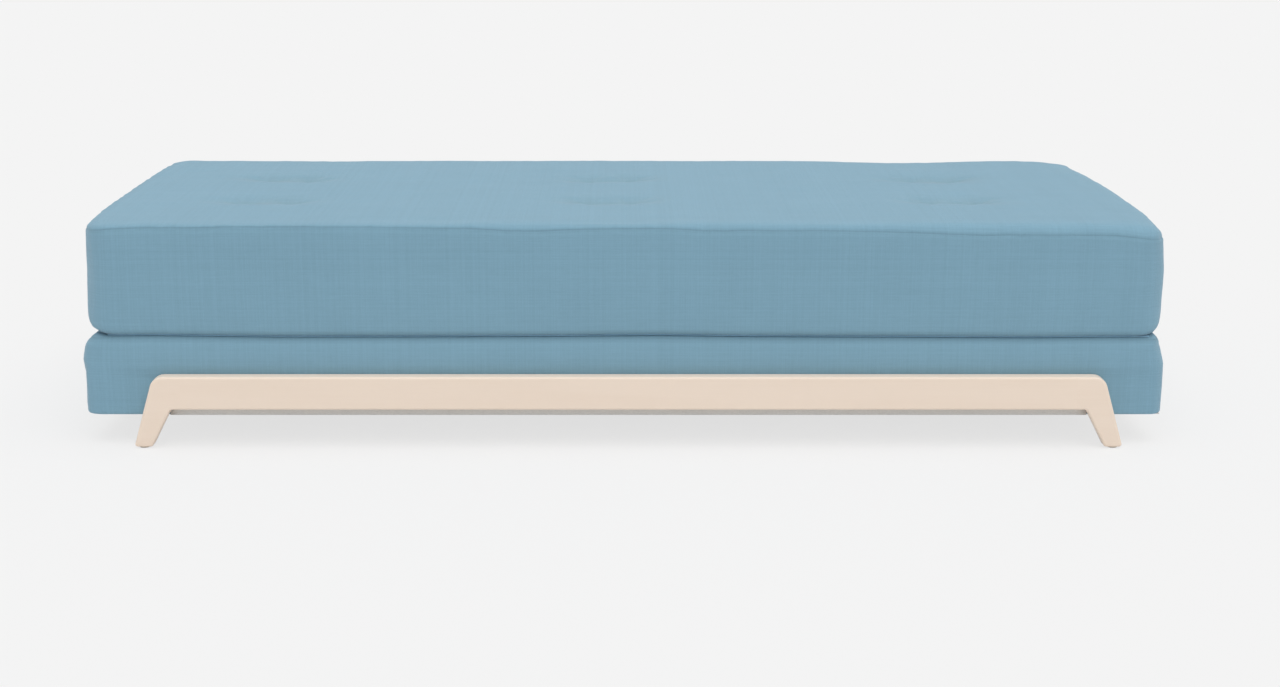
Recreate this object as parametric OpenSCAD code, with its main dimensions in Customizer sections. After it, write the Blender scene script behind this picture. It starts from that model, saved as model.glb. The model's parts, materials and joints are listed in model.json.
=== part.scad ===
// Sofa bed: a tufted mattress lies on an upholstered box, carried by two timber frames.
// The mattress folds over to the front on a fabric hinge and the two halves make a bed.
// Sizes are in millimetres. X runs along the length, -Y is the front, Z is up from the floor.

/* [Mattress] */
// Length from end to end
mattress_len = 2000; // [1700:5:2200]
// Depth from front to back
mattress_depth = 800; // [650:5:900]
// Thickness between the top and bottom edges
mattress_thick = 207; // [170:1:230]
// Rise of the top at its middle
mattress_crown = 2; // [1:0.5:12]
// Corner radius seen from above
mattress_corner_r = 42; // [32:1:60]
// Radius of the long top and bottom edges
mattress_edge_r = 20; // [12:1:24]
// Draw-in of the sides at half height
mattress_draw = 3; // [0:0.5:4]
// Side padding of the cover
mattress_side_pad = 15; // [12:1:20]
// Top padding of the cover over the foam
mattress_top_pad = 26; // [22:1:32]
// Layer of the cover under the foam
mattress_under_pad = 8; // [5:1:12]
// Height of the soft topper on the core
topper_h = 40; // [25:1:60]

/* [Tufts] */
// Distance between the two stitches of a tuft
tuft_gap = 90; // [60:1:110]
// Depth of a stitch below the top
tuft_dip = 13; // [4:0.5:16]
// Reach of a tuft's hollow to the front and back
tuft_reach = 62; // [40:1:80]
// Diameter of the tying twine
twine_d = 3; // [2:0.5:4]
// Diameter of a toggle
toggle_d = 24; // [16:1:32]
// Thickness of a toggle
toggle_h = 4; // [3:0.5:6]
// Diameter of the knot under a toggle
knot_d = 7; // [6:0.5:9]
// Height of the knot under a toggle
knot_h = 4; // [2:0.5:6]

/* [Base box] */
// Extra length of the base beyond the mattress at each end
base_overhang = 10; // [0:1:40]
// Height of the unfolded mattress above the floor
fold_floor_gap = 2; // [1:1:20]
// Clearance under the base
under_clear = 58; // [40:1:90]
// Corner radius seen from above
base_corner_r = 28; // [22:1:32]
// Radius of the top edge
base_edge_r = 20; // [12:1:20]
// Radius of the hem at the bottom edge
base_hem_r = 6; // [2:0.5:8]
// Thickness of the cover's sides
cover_side = 12; // [12:1:20]
// Thickness of the cover's top
cover_top = 10; // [6:1:16]
// Thickness of the dust cover under the base
dust_t = 1; // [0.5:0.1:2]
// Lap of the dust cover over the hem
dust_lap = 3; // [1:0.5:5]

/* [Timber] */
// Thickness of the beams
beam_t = 24; // [18:1:32]
// Height of the beams
beam_h = 74; // [68:1:80]
// Width of a slat
slat_w = 60; // [40:1:80]
// Thickness of a slat
slat_h = 10; // [8:1:14]
// Leg of a corner block
block_leg = 70; // [40:1:90]
// Distance of a corner block below the top of the beams
block_drop = 10; // [4:1:20]

/* [Rail frames] */
// Height of a rail
rail_h = 63; // [45:1:68]
// Thickness of a rail and its legs
rail_t = 28; // [22:1:36]
// Height of the rail's underside above the base's underside
rail_lift = 17; // [6:1:24]
// Distance from the end of the base to the foot's outer corner
leg_inset = 84; // [60:1:200]
// Width of a leg at the floor
foot_w = 33; // [24:1:40]
// Splay of a leg's outer edge, in degrees
leg_out_angle = 16.8; // [6:0.1:18]
// Splay of a leg's inner edge, in degrees
leg_in_angle = 27.6; // [20:0.1:32]
// Radius of the shoulder between a leg and the rail's top
shoulder_r = 25; // [8:1:32]
// Radius in the crook between a leg and the rail's underside
crook_r = 8; // [2:1:20]
// Radius of a foot's corners
foot_r = 5; // [4.5:0.5:8]
// Rounding of all long edges
frame_round = 4; // [1:0.5:4]
// Distance from the crook to the joint between leg and rail
joint_run = 20; // [12:1:60]
// Diameter of a felt pad
pad_d = 18; // [12:1:19]
// Thickness of a felt pad
pad_h = 3; // [2:0.5:5]

/* [Fastenings] */
// Diameter of a dowel
dowel_d = 8; // [6:1:10]
// Length of a dowel
dowel_len = 40; // [30:1:60]
// Diameter of a rail bolt
bolt_d = 8; // [6:1:10]
// Width across the head of a rail bolt
bolt_head_w = 13; // [11:1:15]
// Height of the head of a rail bolt
bolt_head_h = 5; // [4:0.5:7]
// Diameter of a washer
washer_d = 24; // [18:1:30]
// Thickness of a washer
washer_h = 2; // [1:0.5:3]
// Diameter of a threaded insert
insert_d = 12; // [11:0.5:14]
// Length of a threaded insert
insert_len = 15; // [10:1:18]
// Diameter of a wood screw
screw_d = 4; // [3:0.5:5]
// Diameter of a wood screw's head
screw_head_d = 8; // [7:0.5:10]
// Height of a wood screw's conical head
screw_head_h = 2.5; // [2:0.5:4]
// Length of a slat screw
slat_screw_len = 35; // [20:1:40]
// Length of a beam screw
beam_screw_len = 70; // [50:1:90]

/* [Fabric hinge] */
// Distance of the hinge line behind the front faces
hinge_inset = 9; // [6:0.5:12]
// Thickness of the hinge tape
tape_t = 1; // [0.6:0.1:1.6]
// Diameter of the corded edge
cord_edge_d = 5; // [3:0.5:5]
// Tape left on the base when the bed is open
tape_hold = 6; // [4:1:20]
// Distance of the tape's ends from the ends of the mattress
tape_end_inset = 30; // [20:1:80]
// Gap between the open mattress and the front rail
fold_gap = 4; // [3:0.5:12]

/* [Zip] */
// Distance of the zip's ends from the ends of the mattress
zip_inset = 95; // [80:1:300]
// Depth of the zip's recess behind the side of the mattress
zip_depth = 9; // [8:0.5:9]
// Width of the zip's tape
zip_tape_w = 18; // [14:1:24]
// Thickness of the zip's tape
zip_tape_t = 1; // [0.6:0.1:1.5]
// Width of the coil
coil_w = 5; // [4:0.5:6]
// Thickness of the coil
coil_t = 2; // [1.5:0.1:2.5]
// Length of an end stop
stop_len = 4; // [3:0.5:6]
// Extra width of an end stop over the coil
stop_extra = 2; // [1:0.5:3]
// Length of the slider
slider_len = 12; // [10:1:16]
// Wall of the slider
slider_wall = 2; // [1.5:0.1:2.5]
// Diameter of the pull's pin
pull_pin_d = 2; // [1.5:0.1:2.5]
// Wall of the eye around the pin
pull_eye_wall = 1.2; // [1:0.1:2]
// Length of the pull tab
pull_len = 28; // [20:1:40]
// Width of the pull tab
pull_w = 8; // [6:0.5:12]
// Thickness of the pull tab
pull_t = 1.4; // [1:0.1:2]

/* [Clearances] */
// Gap between soft pieces that move past each other
soft_gap = 0.3; // [0.2:0.05:0.5]
// Gap around pins, screws and dowels in their holes
fit_gap = 0.1; // [0.05:0.05:0.2]

/* [Hidden] */

slat_count = 13;
bore_fn = 32;
cloth_fn = 12;
arc_steps = 6;
rim_steps = 3;
corner_steps = 3;
overrun = 1;
blue = [0.50, 0.64, 0.72];
wood = [0.91, 0.84, 0.77];
pine = [0.85, 0.74, 0.58];
foam = [0.94, 0.92, 0.84];
dark = [0.30, 0.29, 0.28];
steel = [0.72, 0.72, 0.74];

// Places of the tufts as shares of the mattress's length and depth
tuft_col_shares = [-0.357, -0.019, 0.319];
tuft_row_shares = [-1 / 6, 1 / 6];
// Lines of the top's grid around a tuft, as shares of its gap and of its reach
tuft_x_line_shares = [-1.1, -0.5, 0, 0.5, 1.1];
tuft_y_line_shares = [-1, -0.4, 0, 0.4, 1];
// How flat the crown is between the edges
crown_power = 8;
// Spread of one stitch's hollow, as shares of the gap and of the reach
stitch_x_share = 0.5;
stitch_y_share = 0.5;
// Heights of paired fastenings, as shares of the piece that they join
dowel_z_shares = [0.3, 0.7];
beam_screw_z_shares = [0.2, 0.5];
// Places of the rail bolts and cross beams, counted in slat pitches from the middle
bolt_slots = [-4.5, -1.5, 1.5, 4.5];
cross_slots = [-3, 0, 3];

front_y = -mattress_depth / 2;
base_top = mattress_thick + mattress_crown + fold_floor_gap;
mattress_z = base_top + soft_gap;
base_half = mattress_len / 2 + base_overhang;
inner_half = base_half - cover_side;
inner_y = mattress_depth / 2 - cover_side;
foam_top = base_top - cover_top;
slat_z = under_clear + beam_h;
slat_pitch = (2 * inner_half - slat_w) / (slat_count - 1);
beam_y = inner_y - beam_t;
beam_mid_y = inner_y - beam_t / 2;
side_beam_x = inner_half - beam_t / 2;

rail_z = under_clear + rail_lift;
rail_top = rail_z + rail_h;
rail_mid_z = rail_z + rail_h / 2;
foot_x = base_half - leg_inset;
joint_x = inner_edge_x(rail_z) - joint_run;
bolt_x = [for (s = bolt_slots) s * slat_pitch];
bolt_reach = beam_t + cover_side + insert_len;

// The mattress turns about the middle of the groove and clears the rail when it lies in front
hinge_y = front_y + hinge_inset;
hinge_z = base_top + soft_gap / 2;
fold_slide = 2 * hinge_inset + rail_t + fold_gap;
tape_w = fold_slide + tape_hold;
tape_half = mattress_len / 2 - tape_end_inset;

cavity_floor = mattress_z + mattress_under_pad;
cavity_top = mattress_z + mattress_thick - mattress_top_pad;
cavity_half = mattress_len / 2 - mattress_side_pad;
cavity_y = mattress_depth / 2 - mattress_side_pad;
cavity_r = mattress_corner_r - mattress_side_pad;
toggle_recess = toggle_h + knot_h + overrun;
tie_z = cavity_top - twine_d / 2 - fit_gap;
tie_hole_d = twine_d + 2 * soft_gap;

zip_z = mattress_z + mattress_thick / 2;
zip_half = mattress_len / 2 - zip_inset;
zip_floor_y = mattress_depth / 2 - zip_depth;
coil_y = zip_floor_y + zip_tape_t;
coil_half = zip_half - stop_len;
slider_out_y = coil_y + coil_t + soft_gap + slider_wall;
pull_eye_r = pull_pin_d / 2 + soft_gap + pull_eye_wall;
pin_y = slider_out_y + soft_gap + pull_eye_r;
slider_half_h = coil_w / 2 + soft_gap + slider_wall;
slider_x = coil_half - stop_len - slider_len / 2;

function xy(c) = [c.x, c.y];
function unit(v) = v / norm(v);
function left_of(v) = [-v.y, v.x];
function backwards(list) = [for (i = [len(list) - 1 : -1 : 0]) list[i]];

// Points of the arc that rounds corner b between its neighbours; a corner is [x, y, radius]
function corner_arc(a, b, c, steps) = b.z == 0 ? [xy(b)] :
    let (u = unit(xy(a) - xy(b)), v = unit(xy(c) - xy(b)), half = acos(u * v) / 2,
         centre = xy(b) + unit(u + v) * b.z / sin(half),
         start = xy(b) + u * b.z / tan(half) - centre,
         end = xy(b) + v * b.z / tan(half) - centre,
         first = atan2(start.y, start.x),
         sweep = (atan2(end.y, end.x) - first + 540) % 360 - 180)
    [for (i = [0 : steps]) let (t = first + sweep * i / steps) centre + b.z * [cos(t), sin(t)]];

// Outline with rounded corners, given counterclockwise
function outline(corners, steps = arc_steps) =
    let (n = len(corners))
    [for (i = [0 : n - 1])
        each corner_arc(corners[(i + n - 1) % n], corners[i], corners[(i + 1) % n], steps)];

// The same corners with every edge moved inwards by d, but for an edge between two sharp corners
function inset(corners, d) =
    let (n = len(corners))
    [for (i = [0 : n - 1])
        let (before = corners[(i + n - 1) % n], at = corners[i], after = corners[(i + 1) % n],
             m = left_of(unit(xy(at) - xy(before))), k = left_of(unit(xy(after) - xy(at))),
             dm = before.z + at.z == 0 ? 0 : d, dk = at.z + after.z == 0 ? 0 : d,
             p = xy(at) + (m * (dm - dk * (m * k)) + k * (dk - dm * (m * k))) / (1 - pow(m * k, 2)),
             bend = sign(cross(xy(at) - xy(before), xy(after) - xy(at))))
        [p.x, p.y, at.z == 0 ? 0 : at.z - bend * d]];

// Insets and heights of the rings of a board whose rims are rounded
function rim_rings(thick, r) = concat(
    [for (i = [0 : rim_steps]) let (t = 90 - 90 * i / rim_steps)
        [r * (1 - cos(t)), r * (1 - sin(t))]],
    [for (i = [0 : rim_steps]) let (t = 90 * i / rim_steps)
        [r * (1 - cos(t)), thick - r * (1 - sin(t))]]);

// Faces of closed rings of n points each, listed from the lowest ring to the highest
function band_faces(n, low, high) =
    [for (k = [0 : n - 1], half = [0, 1]) let (next = (k + 1) % n)
        half == 0 ? [high[k], high[next], low[next]] : [high[k], low[next], low[k]]];

// Faces that close a ring whose two halves run side by side from its first point on
function cap_faces(ring) = let (n = len(ring))
    [for (k = [0 : n / 2 - 2]) [ring[k], ring[k + 1], ring[n - 2 - k], ring[n - 1 - k]]];

// Flat board in X and Y with rounded rims, from the floor of its own frame upwards
module board(corners, thick, r) {
    rings = rim_rings(thick, r);
    n = len(outline(corners));
    points = [for (ring = rings) each [for (p = outline(inset(corners, ring.x))) [p.x, p.y, ring.y]]];
    ids = [for (i = [0 : len(rings) - 1]) [for (k = [0 : n - 1]) i * n + k]];
    polyhedron(points, concat(cap_faces(ids[0]),
        [for (i = [0 : len(rings) - 2]) each band_faces(n, ids[i], ids[i + 1])],
        cap_faces(backwards(ids[len(rings) - 1]))));
}

// Lines across a cushion: a straight part and a share of the corner's radius for each
function corner_lines(half) =
    [for (i = [0 : corner_steps]) [half, i / corner_steps]];
function grid_lines(half, between) = concat(
    backwards([for (c = corner_lines(half)) [-c.x, -c.y]]),
    [for (t = between) [t, 0]], corner_lines(half));

// Direction of a grid point in its corner, and its distance there as a share of the radius
function corner_turn(a, b) = abs(a) >= abs(b) ? 45 * abs(b) / max(abs(a), abs(b))
    : 90 - 45 * abs(a) / abs(b);
function corner_out(a, b) = a == 0 && b == 0 ? [0, 0]
    : [sign(a) * cos(corner_turn(a, b)), sign(b) * sin(corner_turn(a, b))];
function grid_point(u, v, r) =
    [u.x, v.x] + r * max(abs(u.y), abs(v.y)) * corner_out(u.y, v.y);

// Rings from the top edge down, as [distance inwards, height]
function cushion_rings(thick, edge, hem, draw, steps) = concat(
    [for (i = [1 : rim_steps]) let (t = 90 - 90 * i / rim_steps)
        [edge * (1 - cos(t)), thick - edge * (1 - sin(t))]],
    draw == 0 ? [] : [[draw, thick / 2]],
    [for (i = [0 : steps]) let (t = 90 * i / steps)
        [hem * (1 - cos(t)), hem * (1 - sin(t))]]);

// Cushion with its underside at zero and a top whose height is the function rise(x, y)
module cushion(half_x, half_y, corner_r, edge, thick, rings, xs, ys, rise) {
    r = corner_r - edge;
    u = grid_lines(half_x - corner_r, xs);
    v = grid_lines(half_y - corner_r, ys);
    nx = len(u) - 1;
    ny = len(v) - 1;
    rim = concat([for (i = [0 : nx - 1]) [i, 0]], [for (j = [0 : ny - 1]) [nx, j]],
        [for (i = [nx : -1 : 1]) [i, ny]], [for (j = [ny : -1 : 1]) [0, j]]);
    n = len(rim);
    top = [for (j = [0 : ny], i = [0 : nx]) let (p = grid_point(u[i], v[j], r))
        [p.x, p.y, thick + (i == 0 || i == nx || j == 0 || j == ny ? 0 : rise(p.x, p.y))]];
    sides = [for (ring = rings, e = rim)
        let (p = grid_point(u[e.x], v[e.y], r) + (edge - ring.x) * corner_out(u[e.x].y, v[e.y].y))
        [p.x, p.y, ring.y]];
    ids = concat([[for (e = rim) e.y * (nx + 1) + e.x]],
        [for (k = [0 : len(rings) - 1]) [for (m = [0 : n - 1]) len(top) + k * n + m]]);
    cells = [for (j = [0 : ny - 1], i = [0 : nx - 1], half = [0, 1])
        let (p = j * (nx + 1) + i, q = p + nx + 1)
        half == 0 ? [p, q, q + 1] : [p, q + 1, p + 1]];
    polyhedron(concat(top, sides), concat(cells,
        [for (k = [0 : len(rings) - 1]) each band_faces(n, ids[k + 1], ids[k])],
        [ids[len(rings)]]));
}

// Block centred on X and Y
module slab(half_x, half_y, z0, z1) {
    translate([-half_x, -half_y, z0]) cube([2 * half_x, 2 * half_y, z1 - z0]);
}
// Block with cut corners in plan, centred on X and Y
module soft_slab(half_x, half_y, r, z0, z1) {
    translate([0, 0, z0]) linear_extrude(z1 - z0)
        polygon(outline([[-half_x, -half_y, r], [half_x, -half_y, r],
                         [half_x, half_y, r], [-half_x, half_y, r]]));
}
// Round bars along each axis, starting at a point
module bar_x(p, d, len) { translate(p) rotate([0, 90, 0]) cylinder(h = len, d = d, $fn = bore_fn); }
module bar_y(p, d, len) { translate(p) rotate([-90, 0, 0]) cylinder(h = len, d = d, $fn = bore_fn); }
module bar_z(p, d, len) { translate(p) cylinder(h = len, d = d, $fn = bore_fn); }

// Frames of rail and legs
function outer_edge_x(z) = foot_x - z * tan(leg_out_angle);
function inner_edge_x(z) = foot_x - foot_w - z * tan(leg_in_angle);
rail_mid_y = rail_t / 2 - front_y;
module dowel_set(s, gap) {
    for (z = dowel_z_shares)
        bar_x([s * joint_x - dowel_len / 2 - gap, 0, rail_z + z * rail_h], dowel_d + 2 * gap,
              dowel_len + 2 * gap);
}
module rail(side) {
    color(wood) translate([0, side * rail_mid_y, 0]) difference() {
        translate([-joint_x, 0, 0]) rotate([90, 0, 90]) linear_extrude(2 * joint_x)
            polygon(outline([
                [-rail_t / 2, rail_z, frame_round], [rail_t / 2, rail_z, frame_round],
                [rail_t / 2, rail_top, frame_round], [-rail_t / 2, rail_top, frame_round]],
                rim_steps));
        for (s = [-1, 1]) dowel_set(s, fit_gap);
        for (x = bolt_x)
            bar_y([x, -side * rail_t / 2 - (side > 0 ? overrun : insert_len + overrun), rail_mid_z],
                  insert_d + 2 * fit_gap, insert_len + 2 * overrun);
    }
}
// A leg is square and sharp at its joint with the rail, so that the rail runs on into it
module leg(side, end) {
    color(wood) translate([0, side * rail_mid_y, 0]) mirror([end > 0 ? 0 : 1, 0, 0]) difference() {
        translate([0, rail_t / 2, 0]) rotate([90, 0, 0]) board([
            [joint_x, rail_z, 0], [inner_edge_x(rail_z), rail_z, crook_r],
            [inner_edge_x(pad_h), pad_h, foot_r], [outer_edge_x(pad_h), pad_h, foot_r],
            [outer_edge_x(rail_top), rail_top, shoulder_r], [joint_x, rail_top, 0]],
            rail_t, frame_round);
        dowel_set(1, fit_gap);
    }
}
module leg_dowels() {
    color(pine) for (side = [-1, 1], s = [-1, 1])
        translate([0, side * rail_mid_y, 0]) dowel_set(s, 0);
}
module felt_pads() {
    pad_x = (outer_edge_x(pad_h) + inner_edge_x(pad_h)) / 2;
    color(dark) for (side = [-1, 1], s = [-1, 1])
        bar_z([s * pad_x, side * rail_mid_y, 0], pad_d, pad_h);
}

// Screws: a screw points along +Z from its head's flat, which lies at zero
module screw(len, gap) {
    if (gap > 0)
        translate([0, 0, -overrun]) cylinder(h = overrun, d = screw_head_d + 2 * gap, $fn = bore_fn);
    cylinder(h = screw_head_h, d1 = screw_head_d + 2 * gap, d2 = screw_d + 2 * gap, $fn = bore_fn);
    cylinder(h = len + gap, d = screw_d + 2 * gap, $fn = bore_fn);
}
module slat_screw_set(x, gap) {
    for (s = [-1, 1])
        translate([x, s * beam_mid_y, slat_z + slat_h]) rotate([180, 0, 0]) screw(slat_screw_len, gap);
}
member_x = concat([-side_beam_x, side_beam_x], [for (s = cross_slots) s * slat_pitch]);
module beam_screw_set(side, gap) {
    for (x = member_x, z = beam_screw_z_shares)
        translate([x, side * inner_y, under_clear + z * beam_h]) rotate([90 * side, 0, 0])
            screw(beam_screw_len, gap);
}
function slat_x(i) = (i - (slat_count + 1) / 2) * slat_pitch;

// Timber inside the base
module long_beam(side) {
    color(pine) difference() {
        translate([-inner_half, side > 0 ? beam_y : -inner_y, under_clear])
            cube([2 * inner_half, beam_t, beam_h]);
        for (i = [1 : slat_count]) slat_screw_set(slat_x(i), fit_gap);
        beam_screw_set(side, fit_gap);
        for (x = bolt_x)
            bar_y([x, side > 0 ? beam_y - overrun : -inner_y - overrun, rail_mid_z],
                  bolt_d + 2 * fit_gap, beam_t + 2 * overrun);
    }
}
module short_beam(x) {
    color(pine) difference() {
        translate([x - beam_t / 2, -beam_y, under_clear]) cube([beam_t, 2 * beam_y, beam_h]);
        for (side = [-1, 1]) beam_screw_set(side, fit_gap);
    }
}
module corner_blocks() {
    corner_x = inner_half - beam_t;
    color(pine) for (sx = [-1, 1], sy = [-1, 1])
        translate([sx * corner_x, sy * beam_y, under_clear])
            linear_extrude(beam_h - block_drop)
                polygon([[0, 0], [-sx * block_leg, 0], [0, -sy * block_leg]]);
}
module slat(i) {
    color(pine) difference() {
        translate([slat_x(i) - slat_w / 2, -inner_y, slat_z]) cube([slat_w, 2 * inner_y, slat_h]);
        slat_screw_set(slat_x(i), fit_gap);
    }
}
module slat_screws() { color(steel) for (i = [1 : slat_count]) slat_screw_set(slat_x(i), 0); }
module beam_screws() { color(steel) for (side = [-1, 1]) beam_screw_set(side, 0); }

// Bolts that hold the rails, from inside the base; the -Y side is turned about Z
module both_sides() {
    for (turn = [0, 180]) rotate([0, 0, turn]) children();
}
module rail_bolts() {
    color(steel) both_sides() for (x = bolt_x) {
        bar_y([x, beam_y - washer_h, rail_mid_z], bolt_d, bolt_reach + washer_h);
        translate([x, beam_y - washer_h, rail_mid_z]) rotate([90, 0, 0])
            cylinder(h = bolt_head_h, d = bolt_head_w, $fn = 6);
    }
}
module bolt_washers() {
    color(steel) both_sides() for (x = bolt_x) difference() {
        bar_y([x, beam_y - washer_h, rail_mid_z], washer_d, washer_h);
        bar_y([x, beam_y - washer_h - overrun, rail_mid_z], bolt_d + 2 * fit_gap,
              washer_h + 2 * overrun);
    }
}
module threaded_inserts() {
    color(steel) both_sides() for (x = bolt_x) difference() {
        bar_y([x, -front_y, rail_mid_z], insert_d, insert_len);
        bar_y([x, -front_y - overrun, rail_mid_z], bolt_d + 2 * fit_gap, insert_len + 2 * overrun);
    }
}

// Upholstery of the base
module base_foam() { color(foam) slab(inner_half, inner_y, slat_z + slat_h, foam_top); }
module base_cover() {
    thick = base_top - under_clear;
    color(blue) difference() {
        translate([0, 0, under_clear])
            cushion(base_half, -front_y, base_corner_r, base_edge_r, thick,
                    cushion_rings(thick, base_edge_r, base_hem_r, 0, 2), [], [],
                    function (x, y) 0);
        slab(inner_half, inner_y, under_clear - overrun, foam_top);
        // Recess that the hinge tape lies in
        translate([-tape_half - soft_gap, front_y - overrun, base_top - tape_t - soft_gap])
            cube([2 * (tape_half + soft_gap), hinge_inset + tape_w + overrun + soft_gap, base_top]);
        for (x = bolt_x)
            translate([x, front_y - overrun, rail_mid_z]) rotate([-90, 0, 0])
                cylinder(h = mattress_depth + 2 * overrun, d = bolt_d + 2 * soft_gap, $fn = cloth_fn);
    }
}
module dust_cover() {
    flap_half = joint_x + joint_run / 2;
    color(dark) {
        soft_slab(inner_half + dust_lap, inner_y + dust_lap, base_corner_r / 2,
                  under_clear - dust_t, under_clear);
        slab(flap_half, dust_t - front_y, under_clear - dust_t, under_clear);
        both_sides() translate([-flap_half, -front_y, under_clear - dust_t])
            cube([2 * flap_half, dust_t, rail_lift + dust_t - soft_gap]);
    }
}

// Hinge of fabric with a corded edge in the front groove
module hinge_tape() {
    color(blue) {
        bar_x([-tape_half, hinge_y, hinge_z], cord_edge_d, 2 * tape_half);
        translate([-tape_half, hinge_y, base_top - tape_t]) cube([2 * tape_half, tape_w, tape_t]);
    }
}

// Mattress
tuft_x = [for (s = tuft_col_shares) s * mattress_len];
tuft_y = [for (s = tuft_row_shares) s * mattress_depth];
module tie_holes() {
    for (x = tuft_x, y = tuft_y, s = [-1, 1])
        bar_z([x + s * tuft_gap / 2, y, mattress_z], tie_hole_d, mattress_thick);
}
module mattress_core() {
    color(foam) difference() {
        soft_slab(cavity_half, cavity_y, cavity_r, cavity_floor, cavity_top - topper_h);
        tie_holes();
        for (x = tuft_x, y = tuft_y, s = [-1, 1])
            bar_z([x + s * tuft_gap / 2, y, cavity_floor - overrun], toggle_d + 2 * soft_gap,
                  toggle_recess + overrun);
    }
}
module mattress_topper() {
    slot_w = twine_d + 2 * soft_gap;
    color(foam) difference() {
        soft_slab(cavity_half, cavity_y, cavity_r, cavity_top - topper_h, cavity_top);
        tie_holes();
        for (x = tuft_x, y = tuft_y)
            translate([x - tuft_gap / 2, y - slot_w / 2, tie_z - slot_w / 2])
                cube([tuft_gap, slot_w, slot_w]);
    }
}
// Height of the mattress top above its edge: a flat crown with two stitches in every tuft
function stitch(dx, dy) =
    exp(-pow(dx / (stitch_x_share * tuft_gap), 2) - pow(dy / (stitch_y_share * tuft_reach), 2));
function total(list) = list * [for (v = list) 1];
function mattress_rise(x, y) =
    mattress_crown * (1 - pow(2 * x / mattress_len, crown_power))
        * (1 - pow(2 * y / mattress_depth, crown_power))
    - tuft_dip * total([for (tx = tuft_x, ty = tuft_y, s = [-1, 1])
        stitch(x - tx - s * tuft_gap / 2, y - ty)]);
module mattress_cover() {
    between_x = [for (i = [0, 1]) (tuft_x[i] + tuft_x[i + 1]) / 2];
    lines_x = concat([for (s = tuft_x_line_shares) tuft_x[0] + s * tuft_gap], [between_x[0]],
        [for (s = tuft_x_line_shares) tuft_x[1] + s * tuft_gap], [between_x[1]],
        [for (s = tuft_x_line_shares) tuft_x[2] + s * tuft_gap]);
    lines_y = concat([for (s = tuft_y_line_shares) tuft_y[0] + s * tuft_reach], [0],
        [for (s = tuft_y_line_shares) tuft_y[1] + s * tuft_reach]);
    color(blue) difference() {
        translate([0, 0, mattress_z])
            cushion(mattress_len / 2, -front_y, mattress_corner_r, mattress_edge_r, mattress_thick,
                    cushion_rings(mattress_thick, mattress_edge_r, mattress_edge_r,
                                  mattress_draw, 2),
                    lines_x, lines_y, function (x, y) mattress_rise(x, y));
        soft_slab(cavity_half, cavity_y, cavity_r, cavity_floor, cavity_top);
        // Recess of the zip at the rear
        translate([-zip_half - fit_gap, zip_floor_y, zip_z - zip_tape_w / 2 - fit_gap])
            cube([2 * (zip_half + fit_gap), zip_depth + overrun, zip_tape_w + 2 * fit_gap]);
    }
}
// One tie: a bar under the top, two legs through the foam and a knot under each toggle
module tuft_tie(i) {
    x = tuft_x[floor((i - 1) / 2)];
    y = tuft_y[(i - 1) % 2];
    leg_floor = cavity_floor + toggle_recess - toggle_h;
    color("ivory") {
        bar_x([x - tuft_gap / 2, y, tie_z], twine_d, tuft_gap);
        for (s = [-1, 1]) translate([x + s * tuft_gap / 2, y, 0]) {
            translate([0, 0, tie_z]) sphere(d = twine_d, $fn = bore_fn);
            bar_z([0, 0, leg_floor], twine_d, tie_z - leg_floor);
            bar_z([0, 0, leg_floor - knot_h], knot_d, knot_h);
        }
    }
}
module tuft_toggles() {
    color(dark) for (x = tuft_x, y = tuft_y, s = [-1, 1])
        translate([x + s * tuft_gap / 2, y, cavity_floor + toggle_recess - toggle_h]) difference() {
            bar_z([0, 0, 0], toggle_d, toggle_h);
            bar_z([0, 0, -overrun], twine_d + 2 * fit_gap, toggle_h + 2 * overrun);
        }
}

// Zip of the mattress cover
module zip_strip(half_x, w, y, t) { translate([-half_x, y, zip_z - w / 2]) cube([2 * half_x, t, w]); }
module zip_tape() { color(blue) zip_strip(zip_half, zip_tape_w, zip_floor_y, zip_tape_t); }
module zip_coil() { color(blue) zip_strip(coil_half, coil_w, coil_y, coil_t); }
module zip_stops() {
    w = coil_w + stop_extra;
    color(steel) for (s = [-1, 1])
        translate([s > 0 ? coil_half : -coil_half - stop_len, coil_y, zip_z - w / 2])
            cube([stop_len, coil_t + soft_gap, w]);
}
module zip_slider() {
    lug_gap = coil_w / 2;
    color(steel) translate([slider_x, 0, zip_z]) difference() {
        union() {
            translate([-slider_len / 2, coil_y + soft_gap, -slider_half_h])
                cube([slider_len, slider_out_y - coil_y - soft_gap, 2 * slider_half_h]);
            for (s = [-1, 1]) translate([0, 0, s > 0 ? lug_gap : -slider_half_h]) {
                bar_z([0, pin_y, 0], pull_pin_d + 2 * pull_eye_wall, slider_half_h - lug_gap);
                translate([-slider_len / 4, slider_out_y - fit_gap, 0])
                    cube([slider_len / 2, pin_y - slider_out_y + fit_gap, slider_half_h - lug_gap]);
            }
            bar_z([0, pin_y, -lug_gap], pull_pin_d, 2 * lug_gap);
        }
        // Channel over the coil
        translate([-slider_len, coil_y - overrun, -coil_w / 2 - soft_gap])
            cube([2 * slider_len, coil_t + soft_gap + overrun, coil_w + 2 * soft_gap]);
    }
}
module zip_pull() {
    eye_h = coil_w - 2 * soft_gap;
    color(steel) translate([slider_x, pin_y, zip_z]) difference() {
        union() {
            bar_z([0, 0, -eye_h / 2], 2 * pull_eye_r, eye_h);
            translate([-slider_len, -pull_t / 2, -eye_h / 2]) cube([slider_len, pull_t, eye_h]);
            translate([-pull_len, -pull_t / 2, -pull_w / 2])
                cube([pull_len - slider_len / 2 - pull_eye_wall, pull_t, pull_w]);
        }
        bar_z([0, 0, -eye_h], pull_pin_d + 2 * soft_gap, 2 * eye_h);
    }
}

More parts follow.
